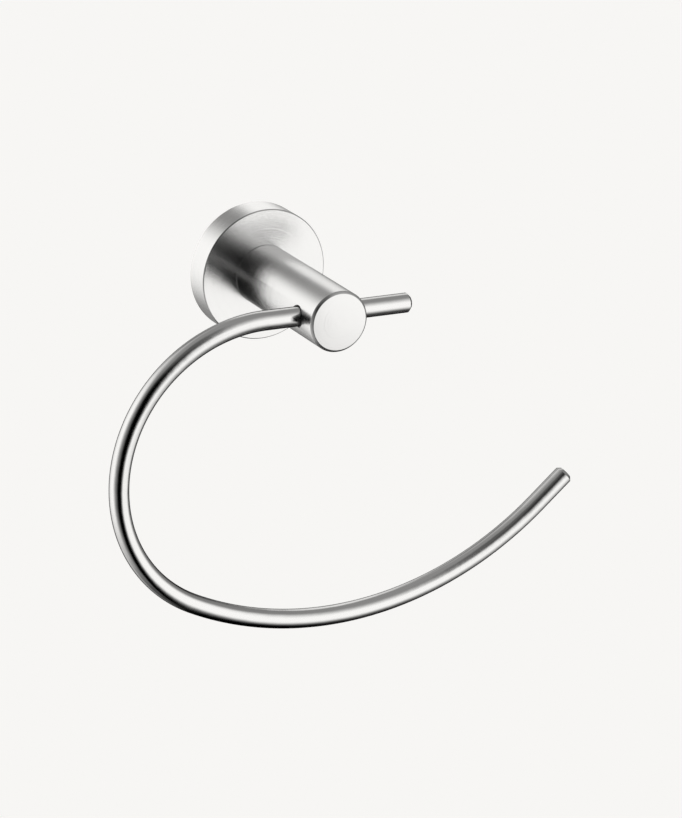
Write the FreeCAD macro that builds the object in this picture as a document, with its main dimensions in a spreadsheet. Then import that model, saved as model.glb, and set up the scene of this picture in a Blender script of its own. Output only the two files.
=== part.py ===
import FreeCAD, Part
import math
import os

import Sketcher

# Wall-mounted towel ring: a round rosette on a hidden wall bracket, a round post, and one bent
# round rod that passes through the post near its front and stays open at the right.
# Millimetres. The wall is the plane Y = 0, the ring stands out towards -Y, +X is to the right
# for someone who faces the wall, +Z is up, and the origin is the middle of the rosette's back.

DRIVING_SIZES = (
    # The rosette, a shallow cup turned from bar.
    ("rosette_diameter", 55.0),
    ("rosette_depth", 12.0),
    ("rosette_wall", 2.5),
    ("rosette_face", 2.5),
    ("rosette_front_bevel", 0.4),
    # The wall bracket, a grooved disc that the cup slips over.
    ("bracket_clearance", 0.3),
    ("bracket_thickness", 6.0),
    ("bracket_hole_diameter", 18.0),
    ("bracket_groove_depth", 1.5),
    ("bracket_groove_floor", 1.2),
    ("wall_slot_spacing", 32.0),
    ("wall_slot_width", 5.2),
    ("wall_slot_length", 8.0),
    # The post, a solid bar. Its reach is measured from the wall.
    ("post_diameter", 25.0),
    ("post_reach", 77.0),
    ("post_front_bevel", 1.0),
    ("post_back_bevel", 0.2),
    # The rod, along its middle line. The stub and the straight run are measured from the post's axis,
    # and the bends' radii and angles give the ring its width and its fall.
    ("rod_diameter", 8.0),
    ("rod_from_post_front", 12.5),
    ("rod_stub_reach", 37.8),
    ("rod_straight_reach", 26.0),
    ("rod_small_bend_radius", 61.0),
    ("rod_small_bend_angle", 153.0),
    ("rod_wide_bend_radius", 143.0),
    ("rod_wide_bend_angle", 68.0),
    ("rod_end_run", 17.5),
    ("rod_end_bevel", 1.2),
    ("rod_seat_depth", 0.5),
    # The fits: how much more radius a hole has than what it holds.
    ("rod_bore_clearance", 0.1),
    ("thread_clearance", 0.05),
    ("screw_hole_clearance", 0.25),
    ("seat_clearance", 0.2),
    ("cone_clearance", 0.1),
    # The screw that holds the post to the rosette, and its washer.
    ("post_screw_diameter", 6.0),
    ("post_screw_length", 16.0),
    ("post_screw_flats", 10.0),
    ("post_screw_head", 4.0),
    ("post_screw_corner_angle", 30.0),
    ("post_screw_bevel", 0.8),
    ("post_tap_spare", 2.0),
    ("drill_point_angle", 118.0),
    ("washer_rim", 2.75),
    ("washer_thickness", 1.6),
    ("washer_split", 1.0),
    # The two headless screws, under the rosette and under the post.
    ("rosette_screw_diameter", 4.0),
    ("rosette_screw_recess", 0.3),
    ("rosette_screw_key", 2.0),
    ("rosette_screw_key_depth", 1.6),
    ("rod_screw_diameter", 5.0),
    ("rod_screw_recess", 0.5),
    ("rod_screw_tip_bevel", 0.8),
    ("rod_screw_key", 2.5),
    ("rod_screw_key_depth", 2.5),
)

document = FreeCAD.newDocument("TowelRing")
sheet = document.addObject("Spreadsheet::Sheet", "Sizes")
for row, (alias, size) in enumerate(DRIVING_SIZES, start=1):
    sheet.set(f"A{row}", alias.replace("_", " "))
    sheet.set(f"B{row}", str(size))
    sheet.setAlias(f"B{row}", alias)
document.recompute()

# What follows from the driving sizes, each relation written once.
ROSETTE_RADIUS = "(Sizes.rosette_diameter / 2)"
CAVITY_RADIUS = f"({ROSETTE_RADIUS} - Sizes.rosette_wall)"
CAVITY_DEPTH = "(Sizes.rosette_depth - Sizes.rosette_face)"
BRACKET_RADIUS = f"({CAVITY_RADIUS} - Sizes.bracket_clearance)"
GROOVE_FLOOR_RADIUS = f"({BRACKET_RADIUS} - Sizes.bracket_groove_depth)"
GROOVE_FLOOR_HALF = "(Sizes.bracket_groove_floor / 2)"
GROOVE_FROM_WALL = "(Sizes.bracket_thickness / 2)"
POST_RADIUS = "(Sizes.post_diameter / 2)"
POST_LENGTH = "(Sizes.post_reach - Sizes.rosette_depth)"
ROD_RADIUS = "(Sizes.rod_diameter / 2)"
ROD_FROM_WALL = "(Sizes.post_reach - Sizes.rod_from_post_front)"
ROD_FROM_POST_BACK = f"({ROD_FROM_WALL} - Sizes.rosette_depth)"
ROD_SEAT_RADIUS = f"({ROD_RADIUS} - Sizes.rod_seat_depth)"
HEAD_FROM_WALL = f"({CAVITY_DEPTH} - Sizes.washer_thickness)"


def number(expression):
    """What an expression on the sheet comes to, in millimetres or degrees."""
    return float(sheet.evalExpression(expression))


def new_body(label, from_wall="0"):
    """An empty body whose own origin is on the post's axis, this far out from the wall."""
    body = document.addObject("PartDesign::Body", label)
    body.Label = label
    body.setExpression(".Placement.Base.y", f"-{from_wall}")
    return body


def new_sketch(body, name, plane, offset="0"):
    """A sketch on one of the body's own origin planes, moved along that plane's normal."""
    sketch = body.newObject("Sketcher::SketchObject", name)
    origin_plane = next(item for item in body.Origin.OriginFeatures if item.Role == plane)
    sketch.AttachmentSupport = (origin_plane, [""])
    sketch.MapMode = "FlatFace"
    sketch.setExpression(".AttachmentOffset.Base.z", offset)
    return sketch


def hold(sketch, expression, kind, *where):
    """A constraint whose number follows an expression."""
    size = number(expression)
    start_value = math.radians(size) if kind == "Angle" else size
    index = sketch.addConstraint(Sketcher.Constraint(kind, *where, start_value))
    sketch.setExpression(f"Constraints[{index}]", expression)


def hold_vertex(sketch, geometry, vertex, across, up):
    hold(sketch, across, "DistanceX", -1, 1, geometry, vertex)
    hold(sketch, up, "DistanceY", -1, 1, geometry, vertex)


def draw_circle(sketch, radius, across="0", up="0"):
    centre = FreeCAD.Vector(number(across), number(up), 0)
    circle = sketch.addGeometry(Part.Circle(centre, FreeCAD.Vector(0, 0, 1), number(radius)))
    hold_vertex(sketch, circle, 3, across, up)
    hold(sketch, radius, "Radius", circle)


def polar(centre, reach, turn):
    """The place this far from a centre at an angle in degrees."""
    angle = math.radians(turn)
    return (centre[0] + reach * math.cos(angle), centre[1] + reach * math.sin(angle))


def draw_arc(sketch, centre, radius, start, sweep):
    """An arc drawn anticlockwise, its angles in degrees."""
    circle = Part.Circle(FreeCAD.Vector(*centre, 0), FreeCAD.Vector(0, 0, 1), radius)
    return sketch.addGeometry(Part.ArcOfCircle(circle, math.radians(start), math.radians(start + sweep)))


def draw_line(sketch, start, end):
    return sketch.addGeometry(Part.LineSegment(FreeCAD.Vector(*start, 0), FreeCAD.Vector(*end, 0)))


def draw_outline(sketch, corners):
    """A closed outline of straight edges, its corners given as pairs of expressions."""
    places = [(number(across), number(up)) for across, up in corners]
    edges = [draw_line(sketch, start, end) for start, end in zip(places, places[1:] + places[:1])]
    for edge, following, corner in zip(edges, edges[1:] + edges[:1], corners):
        sketch.addConstraint(Sketcher.Constraint("Coincident", edge, 2, following, 1))
        hold_vertex(sketch, edge, 1, *corner)


def draw_hexagon(sketch, flats):
    reach = f"{flats} / 2 / cos(30 deg)"
    turns = [f"{60 * corner} deg" for corner in range(6)]
    draw_outline(sketch, [(f"{reach} * cos({turn})", f"{reach} * sin({turn})") for turn in turns])


def draw_level_slot(sketch, middle, length, width):
    """A round-ended slot along the sketch's level axis."""
    radius = number(f"{width} / 2")
    ends = [f"{middle} + {side} * ({length} - {width}) / 2" for side in (-1, 1)]
    left, right = (number(end) for end in ends)
    left_end = draw_arc(sketch, (left, 0), radius, 90, 180)
    lower_side = draw_line(sketch, (left, -radius), (right, -radius))
    right_end = draw_arc(sketch, (right, 0), radius, -90, 180)
    upper_side = draw_line(sketch, (right, radius), (left, radius))
    loop = [left_end, lower_side, right_end, upper_side]
    for edge, following in zip(loop, loop[1:] + loop[:1]):
        sketch.addConstraint(Sketcher.Constraint("Tangent", edge, 2, following, 1))
    sketch.addConstraint(Sketcher.Constraint("Horizontal", lower_side))
    sketch.addConstraint(Sketcher.Constraint("Horizontal", upper_side))
    hold_vertex(sketch, left_end, 3, ends[0], "0")
    hold(sketch, ends[1], "DistanceX", -1, 1, right_end, 3)
    hold(sketch, f"{width} / 2", "Radius", left_end)


def revolve(body, name, corners):
    """A half section, given as places along Y and radii, turned about the body's own Y axis."""
    section = new_sketch(body, name + "Section", "YZ_Plane")
    draw_outline(section, corners)
    turned = body.newObject("PartDesign::Revolution", name)
    turned.Profile = section
    turned.ReferenceAxis = (section, ["H_Axis"])
    turned.Angle = 360
    document.recompute()
    return turned


def extrude(body, kind, name, sketch, length, reversed_way=False):
    """A Pad goes along the sketch's normal and a Pocket against it, unless reversed."""
    feature = body.newObject(f"PartDesign::{kind}", name)
    feature.Profile = sketch
    feature.setExpression("Length", length)
    feature.Reversed = reversed_way
    document.recompute()
    return feature


def chamfer(body, name, feature, edges, size):
    """A bevel of equal legs along some of a feature's edges."""
    bevel = body.newObject("PartDesign::Chamfer", name)
    bevel.Base = (feature, edges)
    bevel.setExpression("Size", size)
    document.recompute()
    return bevel


def round_edges(feature, axis, place, radius):
    """Names of the feature's circular edges of one radius whose centres lie at one place on an axis."""
    found = []
    for index, edge in enumerate(feature.Shape.Edges, start=1):
        curve = edge.Curve
        if not isinstance(curve, Part.Circle) or not math.isclose(curve.Radius, radius):
            continue
        if math.isclose(getattr(curve.Center, axis), place, abs_tol=1e-4):
            found.append(f"Edge{index}")
    return found


# Wall bracket: a disc with a vee groove round its rim, an open middle for the post screw's
# head, and two slots for the wall screws on the level line through the middle.
bracket = new_body("wall_bracket")
groove_mouth_half = f"({GROOVE_FLOOR_HALF} + Sizes.bracket_groove_depth)"
hole_radius = "Sizes.bracket_hole_diameter / 2"
revolve(bracket, "GroovedDisc", [
    ("0", hole_radius),
    ("0", BRACKET_RADIUS),
    (f"-({GROOVE_FROM_WALL} - {groove_mouth_half})", BRACKET_RADIUS),
    (f"-({GROOVE_FROM_WALL} - {GROOVE_FLOOR_HALF})", GROOVE_FLOOR_RADIUS),
    (f"-({GROOVE_FROM_WALL} + {GROOVE_FLOOR_HALF})", GROOVE_FLOOR_RADIUS),
    (f"-({GROOVE_FROM_WALL} + {groove_mouth_half})", BRACKET_RADIUS),
    ("-Sizes.bracket_thickness", BRACKET_RADIUS),
    ("-Sizes.bracket_thickness", hole_radius),
])
slots = new_sketch(bracket, "WallSlotSketch", "XZ_Plane")
for side in (-1, 1):
    slot_middle = f"{side} * Sizes.wall_slot_spacing / 2"
    draw_level_slot(slots, slot_middle, "Sizes.wall_slot_length", "Sizes.wall_slot_width")
extrude(bracket, "Pocket", "WallSlots", slots, "Sizes.bracket_thickness", reversed_way=True)

# Rosette: a cup with its open side to the wall, a plain hole through its face for the post
# screw, and a tapped hole through its wall at the bottom, level with the bracket's groove.
rosette = new_body("rosette")
screw_hole_radius = "(Sizes.post_screw_diameter / 2 + Sizes.screw_hole_clearance)"
cup = revolve(rosette, "Cup", [
    ("0", CAVITY_RADIUS),
    ("0", ROSETTE_RADIUS),
    ("-Sizes.rosette_depth", ROSETTE_RADIUS),
    ("-Sizes.rosette_depth", screw_hole_radius),
    (f"-{CAVITY_DEPTH}", screw_hole_radius),
    (f"-{CAVITY_DEPTH}", CAVITY_RADIUS),
])
front_rim = round_edges(cup, "y", -number("Sizes.rosette_depth"), number(ROSETTE_RADIUS))
chamfer(rosette, "FrontBevel", cup, front_rim, "Sizes.rosette_front_bevel")
tapped = new_sketch(rosette, "SetScrewSketch", "XY_Plane")
draw_circle(tapped, "Sizes.rosette_screw_diameter / 2 + Sizes.thread_clearance", up=f"-{GROOVE_FROM_WALL}")
extrude(rosette, "Pocket", "SetScrewHole", tapped, ROSETTE_RADIUS)

# Post: a bar faced off at the back, bevelled at the front, bored across for the rod, and
# tapped from the back for its own screw and from below for the rod's.
post = new_body("post", "Sizes.rosette_depth")
post_section = new_sketch(post, "BarSketch", "XZ_Plane")
draw_circle(post_section, POST_RADIUS)
bar = extrude(post, "Pad", "Bar", post_section, POST_LENGTH)
front_rim = round_edges(bar, "y", -number(POST_LENGTH), number(POST_RADIUS))
front_bevel = chamfer(post, "FrontBevel", bar, front_rim, "Sizes.post_front_bevel")
back_rim = round_edges(front_bevel, "y", 0, number(POST_RADIUS))
chamfer(post, "BackBevel", front_bevel, back_rim, "Sizes.post_back_bevel")
across = new_sketch(post, "CrossBoreSketch", "YZ_Plane", f"-{POST_RADIUS}")
draw_circle(across, f"{ROD_RADIUS} + Sizes.rod_bore_clearance", across=f"-{ROD_FROM_POST_BACK}")
extrude(post, "Pocket", "CrossBore", across, "Sizes.post_diameter", reversed_way=True)
back_tap = new_sketch(post, "BackTapSketch", "XZ_Plane")
draw_circle(back_tap, "Sizes.post_screw_diameter / 2 + Sizes.thread_clearance")
drilled = post.newObject("PartDesign::Hole", "BackTap")
drilled.Profile = back_tap
document.recompute()
drilled.Reversed = True
drilled.setExpression("Diameter", "Sizes.post_screw_diameter + 2 * Sizes.thread_clearance")
screw_in_post = "(Sizes.post_screw_length - Sizes.washer_thickness - Sizes.rosette_face)"
drilled.DepthType = "Dimension"
drilled.setExpression("Depth", f"{screw_in_post} + Sizes.post_tap_spare")
drilled.DrillPoint = "Angled"
drilled.setExpression("DrillPointAngle", "Sizes.drill_point_angle")
document.recompute()
under_tap = new_sketch(post, "UnderTapSketch", "XY_Plane")
draw_circle(under_tap, "Sizes.rod_screw_diameter / 2 + Sizes.thread_clearance", up=f"-{ROD_FROM_POST_BACK}")
extrude(post, "Pocket", "UnderTap", under_tap, POST_RADIUS)

# Rod: a round bar swept along a level run, a small bend to the left and down, a wide bend that
# carries it up at the right, and a short straight run to its open end, all tangent. Both ends are
# bevelled, and a shallow seat drilled from below takes the tip of the screw that keeps it from turning.
rod = new_body("ring_rod", ROD_FROM_WALL)
path = new_sketch(rod, "PathSketch", "XZ_Plane")
small_radius, wide_radius = number("Sizes.rod_small_bend_radius"), number("Sizes.rod_wide_bend_radius")
small_angle, wide_angle = number("Sizes.rod_small_bend_angle"), number("Sizes.rod_wide_bend_angle")
straight_end = (-number("Sizes.rod_straight_reach"), 0)
small_centre = (straight_end[0], -small_radius)
join_turn = 90 + small_angle
wide_centre = polar(small_centre, small_radius - wide_radius, join_turn)
end_turn = join_turn + wide_angle
end_run_start = polar(wide_centre, wide_radius, end_turn)
open_end = polar(end_run_start, number("Sizes.rod_end_run"), end_turn + 90)
level_run = draw_line(path, (number("Sizes.rod_stub_reach"), 0), straight_end)
small_arc = draw_arc(path, small_centre, small_radius, 90, small_angle)
wide_arc = draw_arc(path, wide_centre, wide_radius, join_turn, wide_angle)
end_run = draw_line(path, end_run_start, open_end)
hold_vertex(path, level_run, 1, "Sizes.rod_stub_reach", "0")
hold_vertex(path, level_run, 2, "-Sizes.rod_straight_reach", "0")
path.addConstraint(Sketcher.Constraint("Tangent", level_run, 2, small_arc, 1))
path.addConstraint(Sketcher.Constraint("Tangent", small_arc, 2, wide_arc, 1))
path.addConstraint(Sketcher.Constraint("Tangent", wide_arc, 2, end_run, 1))
hold(path, "Sizes.rod_small_bend_radius", "Radius", small_arc)
hold(path, "Sizes.rod_wide_bend_radius", "Radius", wide_arc)
hold(path, "Sizes.rod_small_bend_angle", "Angle", small_arc)
hold(path, "Sizes.rod_wide_bend_angle", "Angle", wide_arc)
hold(path, "Sizes.rod_end_run", "Distance", end_run)
rod_section = new_sketch(rod, "SectionSketch", "YZ_Plane", "Sizes.rod_stub_reach")
draw_circle(rod_section, ROD_RADIUS)
document.recompute()
bent_bar = rod.newObject("PartDesign::AdditivePipe", "BentBar")
bent_bar.Profile = rod_section
bent_bar.Spine = (path, ["Edge1", "Edge2", "Edge3", "Edge4"])
document.recompute()
rod_ends = round_edges(bent_bar, "x", number("Sizes.rod_stub_reach"), number(ROD_RADIUS))
rod_ends += round_edges(bent_bar, "x", open_end[0], number(ROD_RADIUS))
chamfer(rod, "BevelledEnds", bent_bar, rod_ends, "Sizes.rod_end_bevel")
seat = new_sketch(rod, "ScrewSeatSketch", "XY_Plane", f"-{ROD_SEAT_RADIUS}")
draw_circle(seat, "Sizes.rod_screw_diameter / 2 + Sizes.seat_clearance")
extrude(rod, "Pocket", "ScrewSeat", seat, "Sizes.rod_seat_depth")

# Post screw: a hexagon-headed screw from inside the rosette, its thread drawn plain.
post_screw = new_body("post_screw", HEAD_FROM_WALL)
head_section = new_sketch(post_screw, "HeadSketch", "XZ_Plane")
draw_hexagon(head_section, "Sizes.post_screw_flats")
extrude(post_screw, "Pad", "Head", head_section, "Sizes.post_screw_head", reversed_way=True)
corner_section = new_sketch(post_screw, "HeadCornerSketch", "YZ_Plane")
head_corner = "(Sizes.post_screw_flats / 2 / cos(30 deg))"
corner_drop = f"({head_corner} - Sizes.post_screw_flats / 2) * tan(Sizes.post_screw_corner_angle * 1 deg)"
draw_outline(corner_section, [
    ("Sizes.post_screw_head", "Sizes.post_screw_flats / 2"),
    ("Sizes.post_screw_head", head_corner),
    (f"Sizes.post_screw_head - {corner_drop}", head_corner),
])
head_corners = post_screw.newObject("PartDesign::Groove", "HeadCorners")
head_corners.Profile = corner_section
head_corners.ReferenceAxis = (corner_section, ["H_Axis"])
head_corners.Angle = 360
document.recompute()
shank_section = new_sketch(post_screw, "ShankSketch", "XZ_Plane")
draw_circle(shank_section, "Sizes.post_screw_diameter / 2")
shank = extrude(post_screw, "Pad", "Shank", shank_section, "Sizes.post_screw_length")
shank_radius = number("Sizes.post_screw_diameter / 2")
shank_tip = round_edges(shank, "y", -number("Sizes.post_screw_length"), shank_radius)
chamfer(post_screw, "ShankTip", shank, shank_tip, "Sizes.post_screw_bevel")

# Lock washer: a flat ring of spring steel, cut through at the top and drawn as it lies when
# the screw is tight.
washer = new_body("lock_washer", HEAD_FROM_WALL)
washer_section = new_sketch(washer, "RingSketch", "XZ_Plane")
washer_hole = "(Sizes.post_screw_diameter / 2 + Sizes.thread_clearance)"
draw_circle(washer_section, washer_hole)
draw_circle(washer_section, f"{washer_hole} + Sizes.washer_rim")
extrude(washer, "Pad", "Ring", washer_section, "Sizes.washer_thickness")
split_section = new_sketch(washer, "SplitSketch", "XZ_Plane")
split_top = f"({washer_hole} + Sizes.washer_rim * 2)"
draw_outline(split_section, [
    ("-Sizes.washer_split / 2", "0"),
    ("Sizes.washer_split / 2", "0"),
    ("Sizes.washer_split / 2", split_top),
    ("-Sizes.washer_split / 2", split_top),
])
extrude(washer, "Pocket", "Split", split_section, "Sizes.washer_thickness", reversed_way=True)


def headless_screw(label, from_wall, diameter, tip, length, tip_bevel, key, key_depth):
    """A screw that stands upright with its tip at the given height below the axis, keyed from below."""
    screw = new_body(label, from_wall)
    section = new_sketch(screw, "ShankSketch", "XY_Plane", f"-{tip}")
    draw_circle(section, f"{diameter} / 2")
    shank = extrude(screw, "Pad", "Shank", section, length, reversed_way=True)
    tip_rim = round_edges(shank, "z", -number(tip), number(f"{diameter} / 2"))
    chamfer(screw, "Tip", shank, tip_rim, tip_bevel)
    key_section = new_sketch(screw, "KeySketch", "XY_Plane", f"-({tip} + {length})")
    draw_hexagon(key_section, key)
    extrude(screw, "Pocket", "Key", key_section, key_depth, reversed_way=True)


# The rosette's screw sits just inside the wall, its cone in the bracket's groove. The cone's
# blunt end is a little narrower than the groove's floor.
blunt_end = f"({GROOVE_FLOOR_HALF} - Sizes.cone_clearance)"
headless_screw(
    "rosette_set_screw", GROOVE_FROM_WALL, "Sizes.rosette_screw_diameter", GROOVE_FLOOR_RADIUS,
    f"({ROSETTE_RADIUS} - Sizes.rosette_screw_recess - {GROOVE_FLOOR_RADIUS})",
    f"Sizes.rosette_screw_diameter / 2 - {blunt_end}",
    "Sizes.rosette_screw_key", "Sizes.rosette_screw_key_depth",
)

# The rod's screw sits just inside the post, its flat tip in the rod's drilled seat.
headless_screw(
    "rod_set_screw", ROD_FROM_WALL, "Sizes.rod_screw_diameter", ROD_SEAT_RADIUS,
    f"({POST_RADIUS} - Sizes.rod_screw_recess - {ROD_SEAT_RADIUS})",
    "Sizes.rod_screw_tip_bevel", "Sizes.rod_screw_key", "Sizes.rod_screw_key_depth",
)

document.recompute()
bodies = [item for item in document.Objects if item.isDerivedFrom("PartDesign::Body")]
failed = [item.Label for item in document.Objects if "Invalid" in item.State or "Error" in item.State]
unsound = [body.Label for body in bodies if body.Shape.isNull() or not body.Shape.isValid()]
if failed or unsound:
    raise SystemExit(f"failed features: {failed}, unsound pieces: {unsound}")

os.makedirs("parts", exist_ok=True)
for body in bodies:
    body.Shape.exportStep(f"parts/{body.Label}.step")
    print(body.Label, round(body.Shape.Volume / 1000, 3), "cubic centimetres")
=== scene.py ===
import math

import bpy
from mathutils import Matrix, Vector


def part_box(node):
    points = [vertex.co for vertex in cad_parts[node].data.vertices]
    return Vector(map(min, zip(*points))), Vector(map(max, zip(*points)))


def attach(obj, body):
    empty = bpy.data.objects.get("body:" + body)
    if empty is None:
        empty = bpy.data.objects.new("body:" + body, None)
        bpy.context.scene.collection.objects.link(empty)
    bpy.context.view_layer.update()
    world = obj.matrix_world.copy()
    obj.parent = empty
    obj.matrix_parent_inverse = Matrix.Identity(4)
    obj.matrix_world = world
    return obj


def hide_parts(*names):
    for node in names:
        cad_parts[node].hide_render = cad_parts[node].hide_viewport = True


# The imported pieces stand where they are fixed. The wall is the plane Y = 0, the ring stands out
# towards -Y, and the post's axis is the line X = 0, Z = 0. Everything is in metres.
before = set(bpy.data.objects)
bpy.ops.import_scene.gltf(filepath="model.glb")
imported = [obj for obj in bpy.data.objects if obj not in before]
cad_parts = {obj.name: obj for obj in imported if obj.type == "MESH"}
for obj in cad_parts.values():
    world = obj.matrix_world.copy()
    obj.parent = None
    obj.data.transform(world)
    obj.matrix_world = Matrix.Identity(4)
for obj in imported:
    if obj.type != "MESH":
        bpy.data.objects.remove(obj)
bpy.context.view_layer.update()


# Wall bracket: a thick disc of zinc-plated steel, turned and slotted, that is screwed to the wall
# first. The rosette slips over it, and its set screw bears in the groove round the disc's edge.
ZINC = (0.6, 0.61, 0.63)
STROKES_PER_METRE = 6000.0
GRAINS_PER_METRE = 900.0
CLOUDS_PER_METRE = 110.0
ROUGHNESS_SPREAD = 0.04


class Shade:
    """One socket of a shader, used in ordinary sums, where each sum adds its Math nodes."""

    def __init__(self, tree, socket=None):
        self.tree = tree
        self.socket = socket

    def node(self, kind, sockets=(), output=0, **settings):
        """Any other node: its settings are set first, then the values or links of its sockets."""
        made = self.tree.nodes.new(kind)
        for name, setting in settings.items():
            setattr(made, name, setting)
        for name, given in dict(sockets).items():
            if isinstance(given, Shade):
                self.tree.links.new(given.socket, made.inputs[name])
            else:
                made.inputs[name].default_value = given
        return Shade(self.tree, made.outputs[output])

    def sum(self, operation, first, second=0.0):
        return self.node("ShaderNodeMath", {0: first, 1: second}, operation=operation)

    def __add__(self, other):
        return self.sum("ADD", self, other)

    def __radd__(self, other):
        return self.sum("ADD", other, self)

    def __sub__(self, other):
        return self.sum("SUBTRACT", self, other)

    def __rsub__(self, other):
        return self.sum("SUBTRACT", other, self)

    def __mul__(self, other):
        return self.sum("MULTIPLY", self, other)

    def __rmul__(self, other):
        return self.sum("MULTIPLY", other, self)

    def __abs__(self):
        return self.sum("ABSOLUTE", self)

    def fade(self, start, end, first=0.0, last=1.0):
        """A smooth change from first to last as this value goes from start to end."""
        ends = {"Value": self, "From Min": start, "From Max": end, "To Min": first, "To Max": last}
        return self.node("ShaderNodeMapRange", ends, interpolation_type="SMOOTHSTEP")

    def parts(self):
        """The X, Y and Z of a place or a direction."""
        split = self.node("ShaderNodeSeparateXYZ", {"Vector": self}).socket.node
        return [Shade(self.tree, split.outputs[axis]) for axis in "XYZ"]

    def feed(self, shader, socket):
        self.tree.links.new(self.socket, shader.inputs[socket])


def grained_steel(name, colour, roughness, groove, wave, along=None, glancing=0.8):
    """Steel with fine grooves over a soft waviness, both in metres.

    The grooves lie across the run that along gives, or all ways where there is none. Glancing is
    how much light the very edges of the metal send back, against an ideal mirror's.
    """
    material = bpy.data.materials.new(name)
    material.use_nodes = True
    shader = material.node_tree.nodes["Principled BSDF"]
    shader.inputs["Metallic"].default_value = 1.0
    shader.inputs["Base Color"].default_value = (*colour, 1.0)
    shader.inputs["Specular Tint"].default_value = (glancing, glancing, glancing, 1.0)
    shade = Shade(material.node_tree)
    place = shade.node("ShaderNodeTexCoord", output="Object")
    if along:
        strokes = {"W": along(place), "Scale": STROKES_PER_METRE, "Detail": 1.0}
        lines = shade.node("ShaderNodeTexNoise", strokes, noise_dimensions="1D")
    else:
        grains = {"Vector": place, "Scale": GRAINS_PER_METRE, "Detail": 3.0}
        lines = shade.node("ShaderNodeTexNoise", grains)
    clouds = {"Vector": place, "Scale": CLOUDS_PER_METRE, "Detail": 2.0}
    cloud = shade.node("ShaderNodeTexNoise", clouds)
    worn = (roughness - ROUGHNESS_SPREAD) + ROUGHNESS_SPREAD * lines + ROUGHNESS_SPREAD * cloud
    worn.feed(shader, "Roughness")
    surface = groove * lines + wave * cloud
    ridges = shade.node("ShaderNodeBump", {"Height": surface, "Distance": 1.0, "Strength": 1.0})
    ridges.feed(shader, "Normal")
    return material


def dress_node(name, material):
    """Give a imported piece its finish."""
    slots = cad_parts[name].data.materials
    slots.clear()
    slots.append(material)


plated = grained_steel("plated_steel", ZINC, 0.35, groove=0.000005, wave=0.0001)
dress_node("wall_bracket", plated)


# Rosette: a shallow cup turned from stainless bar, 55 mm across, satin finished, with a plain
# hole for the post's screw and a tapped hole at the bottom of its wall. It slips over the wall
# bracket and its rim meets the wall.
SATIN = (0.62, 0.62, 0.62)
rosette_low, rosette_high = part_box("rosette")
bracket_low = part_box("wall_bracket")[0]
ROSETTE_RADIUS = rosette_high.x
ROSETTE_DEPTH = -rosette_low.y
ROSETTE_WALL = 0.0025
ROSETTE_FACE = 0.0025
ROSETTE_HOLE_RADIUS = 0.00325
ROSETTE_RIM_BEVEL = 0.0004
SET_SCREW_HOLE_RADIUS = 0.00205
SET_SCREW_Y = bracket_low.y / 2
DRILL_PAST = 0.002
REAL_EDGE = math.radians(10)


def select_faces(direction, tolerance=0.99):
    """Select the faces of the mesh in edit mode whose normals point one way."""
    bpy.ops.mesh.select_mode(type="FACE")
    bpy.ops.mesh.select_all(action="DESELECT")
    bpy.ops.object.mode_set(mode="OBJECT")
    for face in bpy.context.object.data.polygons:
        face.select = face.normal.dot(Vector(direction)) > tolerance
    bpy.ops.object.mode_set(mode="EDIT")


def select_circle(along, radius):
    """Select the edges on one circle about the Y axis, at one place along it."""
    near = 1e-5
    bpy.ops.mesh.select_mode(type="EDGE")
    bpy.ops.mesh.select_all(action="DESELECT")
    bpy.ops.object.mode_set(mode="OBJECT")
    mesh = bpy.context.object.data
    on_circle = [
        abs(corner.co.y - along) < near and abs(math.hypot(corner.co.x, corner.co.z) - radius) < near
        for corner in mesh.vertices
    ]
    for edge in mesh.edges:
        edge.select = all(on_circle[corner] for corner in edge.vertices)
    bpy.ops.object.mode_set(mode="EDIT")


def round_bar(name, radius, start, end, steps=256):
    """A bar along Y between two places, left in edit mode, with its place in its mesh."""
    bpy.ops.object.select_all(action="DESELECT")
    bpy.ops.mesh.primitive_cylinder_add(
        vertices=steps, radius=radius, depth=abs(end - start), end_fill_type="NGON",
        location=(0, (start + end) / 2, 0), rotation=(math.pi / 2, 0, 0),
    )
    bar = bpy.context.object
    bar.name = name
    bpy.ops.object.transform_apply(location=True, rotation=True, scale=True)
    bpy.ops.object.mode_set(mode="EDIT")
    return bar


def drill(piece, radius, start, end, steps=64):
    """Cut a round hole between two places."""
    way = Vector(end) - Vector(start)
    turn = way.to_track_quat("Z", "Y").to_euler()
    middle = (Vector(start) + Vector(end)) / 2
    bpy.ops.object.select_all(action="DESELECT")
    bpy.ops.mesh.primitive_cylinder_add(
        vertices=steps, radius=radius, depth=way.length, location=middle, rotation=turn,
    )
    cutter = bpy.context.object
    bpy.context.view_layer.objects.active = piece
    cut = piece.modifiers.new("hole", "BOOLEAN")
    cut.object = cutter
    cut.operation = "DIFFERENCE"
    cut.solver = "EXACT"
    bpy.ops.object.modifier_apply(modifier=cut.name)
    bpy.data.objects.remove(cutter)


def turned_run(place):
    """Along a turned piece: in from its rim on a face, and along its axis on a side."""
    x, y, z = place.parts()
    return place.sum("SQRT", x * x + z * z) - y


def finish_piece(piece, material, replaced):
    """Smooth shading but for real edges, the finish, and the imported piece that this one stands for."""
    bpy.ops.object.select_all(action="DESELECT")
    piece.select_set(True)
    bpy.context.view_layer.objects.active = piece
    bpy.ops.object.shade_smooth_by_angle(angle=REAL_EDGE)
    piece.data.materials.clear()
    piece.data.materials.append(material)
    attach(piece, "root")
    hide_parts(replaced)


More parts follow.
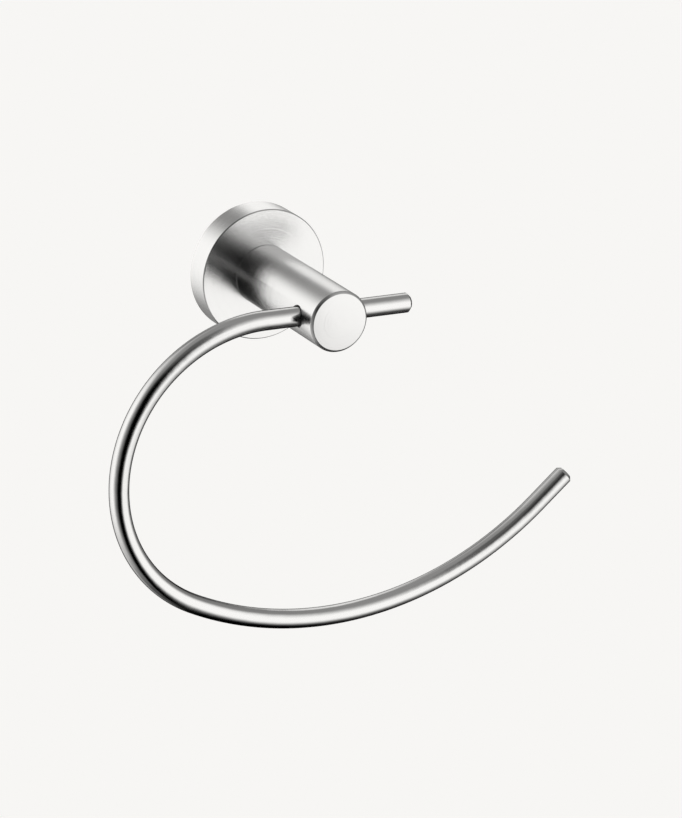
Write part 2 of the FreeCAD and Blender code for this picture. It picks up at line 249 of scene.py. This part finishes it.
# The front is marked out for its hole, and the back is hollowed and marked out in the same way.
rosette = round_bar("rosette_cup", ROSETTE_RADIUS, 0, -ROSETTE_DEPTH)
select_faces((0, -1, 0))
bpy.ops.mesh.inset(thickness=ROSETTE_RADIUS - ROSETTE_HOLE_RADIUS)
select_faces((0, 1, 0))
bpy.ops.mesh.inset(thickness=ROSETTE_WALL)
inwards = {"value": (0, ROSETTE_FACE - ROSETTE_DEPTH, 0)}
bpy.ops.mesh.extrude_region_move(TRANSFORM_OT_translate=inwards)
bpy.ops.mesh.inset(thickness=ROSETTE_RADIUS - ROSETTE_WALL - ROSETTE_HOLE_RADIUS)
# Both discs at the hole come out, and their two edges are joined by the wall of the hole.
bpy.ops.mesh.delete(type="FACE")
select_circle(-ROSETTE_DEPTH, ROSETTE_HOLE_RADIUS)
bpy.ops.mesh.select_mode(type="FACE")
bpy.ops.mesh.delete(type="ONLY_FACE")
bpy.ops.object.mode_set(mode="OBJECT")
bpy.ops.object.mode_set(mode="EDIT")
bpy.ops.mesh.select_mode(type="EDGE")
bpy.ops.mesh.select_all(action="DESELECT")
bpy.ops.mesh.select_non_manifold()
bpy.ops.mesh.bridge_edge_loops()
select_circle(-ROSETTE_DEPTH, ROSETTE_RADIUS)
bpy.ops.mesh.bevel(offset=ROSETTE_RIM_BEVEL, segments=1)
bpy.ops.object.mode_set(mode="OBJECT")
inside_wall = (0, SET_SCREW_Y, ROSETTE_WALL - ROSETTE_RADIUS + DRILL_PAST)
outside_wall = (0, SET_SCREW_Y, -ROSETTE_RADIUS - DRILL_PAST)
drill(rosette, SET_SCREW_HOLE_RADIUS, inside_wall, outside_wall, steps=48)
satin_turned = grained_steel(
    "satin_steel_turned", SATIN, 0.2, groove=0.000012, wave=0.00004, along=turned_run,
)
finish_piece(rosette, satin_turned, "rosette")


# Post: a solid 25 mm bar of the same steel, faced and bevelled at the front, with a satin finish
# all over. It is bored across for the rod, with both mouths of the bore eased, and tapped from
# behind for the screw that holds the rosette and from below for the rod's set screw.
post_low, post_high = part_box("post")
rod_low, rod_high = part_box("ring_rod")
POST_RADIUS = post_high.x
POST_BACK = post_high.y
POST_FRONT = post_low.y
POST_FRONT_BEVEL = 0.001
POST_BACK_BEVEL = 0.0004
POST_EDGE_ROUND = 0.00012
ROD_RADIUS = (rod_high.y - rod_low.y) / 2
ROD_Y = (rod_high.y + rod_low.y) / 2
BORE_CLEARANCE = 0.0001
BORE_MOUTH_EASE = 0.0005
BORE_MOUTH_DEPTH = 0.002
POST_TAP_RADIUS = 0.00305
POST_TAP_DEPTH = 0.0139
UNDER_TAP_RADIUS = 0.00255

post = round_bar("post_bar", POST_RADIUS, POST_BACK, POST_FRONT)
select_circle(POST_FRONT, POST_RADIUS)
bpy.ops.mesh.bevel(offset=POST_FRONT_BEVEL, segments=1)
select_circle(POST_BACK, POST_RADIUS)
bpy.ops.mesh.bevel(offset=POST_BACK_BEVEL, segments=1)
select_circle(POST_FRONT + POST_FRONT_BEVEL, POST_RADIUS)
bpy.ops.mesh.bevel(offset=POST_EDGE_ROUND, segments=3, profile=0.5)
select_circle(POST_FRONT, POST_RADIUS - POST_FRONT_BEVEL)
bpy.ops.mesh.bevel(offset=POST_EDGE_ROUND, segments=3, profile=0.5)
bpy.ops.object.mode_set(mode="OBJECT")
left_of_post = (-POST_RADIUS - DRILL_PAST, ROD_Y, 0)
right_of_post = (POST_RADIUS + DRILL_PAST, ROD_Y, 0)
left_mouth = (-POST_RADIUS + BORE_MOUTH_DEPTH, ROD_Y, 0)
right_mouth = (POST_RADIUS - BORE_MOUTH_DEPTH, ROD_Y, 0)
drill(post, ROD_RADIUS + BORE_CLEARANCE, left_of_post, right_of_post, steps=128)
drill(post, ROD_RADIUS + BORE_MOUTH_EASE, left_of_post, left_mouth, steps=128)
drill(post, ROD_RADIUS + BORE_MOUTH_EASE, right_of_post, right_mouth, steps=128)
drill(post, UNDER_TAP_RADIUS, (0, ROD_Y, 0), (0, ROD_Y, -POST_RADIUS - DRILL_PAST))
drill(post, POST_TAP_RADIUS, (0, POST_BACK - POST_TAP_DEPTH, 0), (0, POST_BACK + DRILL_PAST, 0))
satin_drawn = grained_steel(
    "satin_steel_drawn", SATIN, 0.24, groove=0.000016, wave=0.00004, along=turned_run,
    glancing=0.6,
)
finish_piece(post, satin_drawn, "post")


# Ring rod: an 8 mm round bar of the same steel, rubbed bright, and bent cold in one plane into a
# level run, a small bend, a wide bend and a short straight end. Its level run is pushed through
# the post until the stub stands out on the far side.
RUBBED = (0.6, 0.6, 0.6)
STUB_REACH = 0.0378
STRAIGHT_REACH = 0.026
SMALL_BEND_RADIUS = 0.061
SMALL_BEND_ANGLE = math.radians(153)
WIDE_BEND_RADIUS = 0.143
WIDE_BEND_ANGLE = math.radians(68)
END_RUN = 0.0175
ROD_END_BEVEL = 0.0012
ROD_AROUND = 96


def polar(centre, reach, angle):
    """The place this far from a centre, in the ring's plane."""
    return Vector((centre[0] + reach * math.cos(angle), ROD_Y, centre[2] + reach * math.sin(angle)))


small_centre = Vector((-STRAIGHT_REACH, ROD_Y, -SMALL_BEND_RADIUS))
join_turn = math.pi / 2 + SMALL_BEND_ANGLE
join_place = polar(small_centre, SMALL_BEND_RADIUS, join_turn)
wide_centre = polar(small_centre, SMALL_BEND_RADIUS - WIDE_BEND_RADIUS, join_turn)
end_way = join_turn + WIDE_BEND_ANGLE + math.pi / 2
level_run = {"value": (-STRAIGHT_REACH - STUB_REACH, 0, 0)}
end_run = {"value": (END_RUN * math.cos(end_way), 0, END_RUN * math.sin(end_way))}
bpy.ops.object.select_all(action="DESELECT")
bpy.ops.mesh.primitive_circle_add(
    vertices=ROD_AROUND, radius=ROD_RADIUS, fill_type="NGON",
    location=(STUB_REACH, ROD_Y, 0), rotation=(0, math.pi / 2, 0),
)
rod = bpy.context.object
rod.name = "ring_bar"
bpy.ops.object.transform_apply(location=True, rotation=True, scale=True)
bpy.ops.object.mode_set(mode="EDIT")
bpy.ops.mesh.select_mode(type="FACE")
bpy.ops.mesh.select_all(action="SELECT")
bpy.ops.mesh.extrude_region_move(TRANSFORM_OT_translate=level_run)
bpy.ops.mesh.spin(steps=180, angle=SMALL_BEND_ANGLE, center=small_centre, axis=(0, 1, 0))
bpy.ops.mesh.spin(steps=160, angle=WIDE_BEND_ANGLE, center=wide_centre, axis=(0, 1, 0))
bpy.ops.mesh.extrude_region_move(TRANSFORM_OT_translate=end_run)
bpy.ops.mesh.select_all(action="SELECT")
bpy.ops.mesh.remove_doubles(threshold=1e-6)
bpy.ops.mesh.normals_make_consistent(inside=False)
# The two cut ends, the only faces with so many corners, are bevelled all round.
bpy.ops.mesh.select_mode(type="EDGE")
bpy.ops.mesh.select_all(action="DESELECT")
bpy.ops.object.mode_set(mode="OBJECT")
end_faces = [face for face in rod.data.polygons if len(face.vertices) == ROD_AROUND]
end_corners = {corner for face in end_faces for corner in face.vertices}
for edge in rod.data.edges:
    edge.select = all(corner in end_corners for corner in edge.vertices)
bpy.ops.object.mode_set(mode="EDIT")
bpy.ops.mesh.bevel(offset=ROD_END_BEVEL, segments=1)
bpy.ops.object.mode_set(mode="OBJECT")


def rod_run(place):
    """Along the bar: its level run, then the turns about the small and the wide bend's centres."""
    x, y, z = place.parts()
    small_turn = place.sum("ARCTAN2", z - small_centre.z, x - small_centre.x) * SMALL_BEND_RADIUS
    wide_turn = place.sum("ARCTAN2", z - wide_centre.z, x - wide_centre.x) * WIDE_BEND_RADIUS
    past_join = place.sum("GREATER_THAN", x, join_place.x)
    above_bends = place.sum("GREATER_THAN", z, -2 * ROD_RADIUS)
    before_bends = place.sum("GREATER_THAN", x, -STRAIGHT_REACH) * above_bends
    bent = small_turn + (wide_turn - small_turn) * past_join
    return bent + (x - bent) * before_bends


rubbed = grained_steel(
    "rubbed_steel", RUBBED, 0.13, groove=0.00001, wave=0.00015, along=rod_run, glancing=0.1,
)
finish_piece(rod, rubbed, "ring_rod")


# Screws and washer: bright stainless fasteners. The post screw and its split washer hold the
# rosette to the post from inside the cup. The two set screws come in from below, where their
# hexagon sockets show.
BRIGHT = (0.66, 0.655, 0.64)
bright = grained_steel("screw_steel", BRIGHT, 0.25, groove=0.000004, wave=0.00003)
for name in ("post_screw", "lock_washer", "rosette_set_screw", "rod_set_screw"):
    dress_node(name, bright)


# Floor: plain and pale, as far below the ring as it is in a bathroom. It keeps the ring's shadow,
# and only to the camera it glows to the paleness of the surround. The metal shows the studio in
# its place.
PALE = (0.9301, 0.9216, 0.9047, 1.0)
BLACK = (0.0, 0.0, 0.0, 1.0)
FLOOR_PAINT = (0.4, 0.4, 0.4, 1.0)
FLOOR_BELOW = 1.3
FLOOR_SIZE = 60
FLOOR_GLOW = 0.75
bpy.ops.object.select_all(action="DESELECT")
bpy.ops.mesh.primitive_plane_add(size=FLOOR_SIZE, location=(0, 0, -FLOOR_BELOW))
floor = bpy.context.object
floor.name = "floor"
floor.visible_glossy = False
floor_paint = bpy.data.materials.new("floor_paint")
floor_paint.use_nodes = True
floor.data.materials.append(floor_paint)
paint = floor_paint.node_tree.nodes["Principled BSDF"]
paint.inputs["Roughness"].default_value = 1.0
paint.inputs["Specular IOR Level"].default_value = 0.0
paint.inputs["Base Color"].default_value = FLOOR_PAINT
paint.inputs["Emission Strength"].default_value = FLOOR_GLOW
under = Shade(floor_paint.node_tree)
camera_sees_floor = under.node("ShaderNodeLightPath", output="Is Camera Ray")
shown = {0: camera_sees_floor, 6: BLACK, 7: PALE}
glow = under.node("ShaderNodeMix", shown, output=2, data_type="RGBA")
glow.feed(paint, "Emission Color")


# Studio: a grey surround with soft-edged cards, as a photographer sets them round bright metal.
# The bar then shows a white band between dark ones. The cards are tones of the world's light, so
# that they stand equally far away from every piece.
WHITE = 1.68
MID_GREY = 0.37
TOP_GREY = 0.43
FLOOR_DARK = 0.06
LEAN = 0.27
world = bpy.data.worlds.new("studio")
bpy.context.scene.world = world
world.use_nodes = True
background = world.node_tree.nodes["Background"]
air = Shade(world.node_tree)
x, y, z = air.node("ShaderNodeTexCoord", output="Generated").parts()
sky_rise = air.sum("ARCSINE", z) * math.degrees(1)
sky_turn = air.sum("ARCTAN2", x, y * -1) * math.degrees(1) + LEAN * sky_rise


def card(tone, towards, rise, half_width, half_height, soft_sides, soft_ends, lightness):
    """One card laid over the tones so far.

    Towards is the degrees round the ring, with 0 straight out from the wall and 90 to the right,
    and rise the degrees above the level. Every card leans by the same share of its rise.
    """
    turns = {0: sky_turn - towards, 1: 180.0, 2: -180.0}
    beside = abs(air.node("ShaderNodeMath", turns, operation="WRAP"))
    across = beside.fade(half_width - soft_sides, half_width + soft_sides, 1.0, 0.0)
    above = abs(sky_rise - rise)
    along = above.fade(half_height - soft_ends, half_height + soft_ends, 1.0, 0.0)
    return tone + (lightness - tone) * across * along


tone = sky_rise.fade(-90, -50, FLOOR_DARK, MID_GREY)
tone = tone + (TOP_GREY - tone) * sky_rise.fade(40, 68)
# Behind the ring: a pale glow low down, and a white card a little to the right.
tone = card(tone, -178, -50, 30, 12, soft_sides=14, soft_ends=10, lightness=0.8)
tone = card(tone, 160, 22, 17, 24, soft_sides=10, soft_ends=12, lightness=WHITE)
# The two great white cards, at the left and at the front right.
tone = card(tone, -129, -4, 43, 47, soft_sides=21, soft_ends=25, lightness=WHITE)
tone = card(tone, 40, -6, 39, 46, soft_sides=18, soft_ends=28, lightness=WHITE)
# The dark ones: above the camera, round the camera, at the right, and low at the right.
tone = card(tone, -12, 50, 30, 24, soft_sides=14, soft_ends=12, lightness=0.17)
tone = card(tone, -27, -24, 28, 64, soft_sides=16, soft_ends=14, lightness=0.0)
tone = card(tone, 129, -19, 11, 41, soft_sides=8, soft_ends=7, lightness=0.1)
tone = card(tone, 79, -74, 76, 31, soft_sides=13, soft_ends=27, lightness=0.0)
# A grey card high behind, for the grey streak on the post and on the rosette's face.
tone = card(tone, -166, 34, 18, 12, soft_sides=15, soft_ends=10, lightness=0.35)
camera_sees = air.node("ShaderNodeLightPath", output="Is Camera Ray")
brightness = tone + (1 - tone) * camera_sees
background.inputs["Color"].default_value = PALE
brightness.feed(background, "Strength")


# Camera: a long lens from the front left and a little above, as in the photograph, with its
# small roll. Azimuth 0 looks straight at the wall.
CAMERA_AZIMUTH = math.radians(-29.12)
CAMERA_ELEVATION = math.radians(20.07)
CAMERA_ROLL = math.radians(2.68)
CAMERA_DISTANCE = 1.296
CAMERA_TARGET = Vector((0.04527, 0, -0.06842))
CAMERA_LENS = 161.4
forward = Vector((
    -math.sin(CAMERA_AZIMUTH) * math.cos(CAMERA_ELEVATION),
    math.cos(CAMERA_AZIMUTH) * math.cos(CAMERA_ELEVATION),
    -math.sin(CAMERA_ELEVATION),
))
level_right = Vector((math.cos(CAMERA_AZIMUTH), math.sin(CAMERA_AZIMUTH), 0))
level_up = level_right.cross(forward)
right = math.cos(CAMERA_ROLL) * level_right + math.sin(CAMERA_ROLL) * level_up
up = math.cos(CAMERA_ROLL) * level_up - math.sin(CAMERA_ROLL) * level_right
lens = bpy.data.cameras.new("camera")
lens.sensor_fit = "HORIZONTAL"
lens.sensor_width = 36
lens.lens = CAMERA_LENS
camera = bpy.data.objects.new("camera", lens)
bpy.context.scene.collection.objects.link(camera)
pose = Matrix((right, up, -forward)).transposed().to_4x4()
pose.translation = CAMERA_TARGET - CAMERA_DISTANCE * forward
camera.matrix_world = pose
bpy.context.scene.camera = camera
bpy.context.scene.view_settings.view_transform = "Standard"
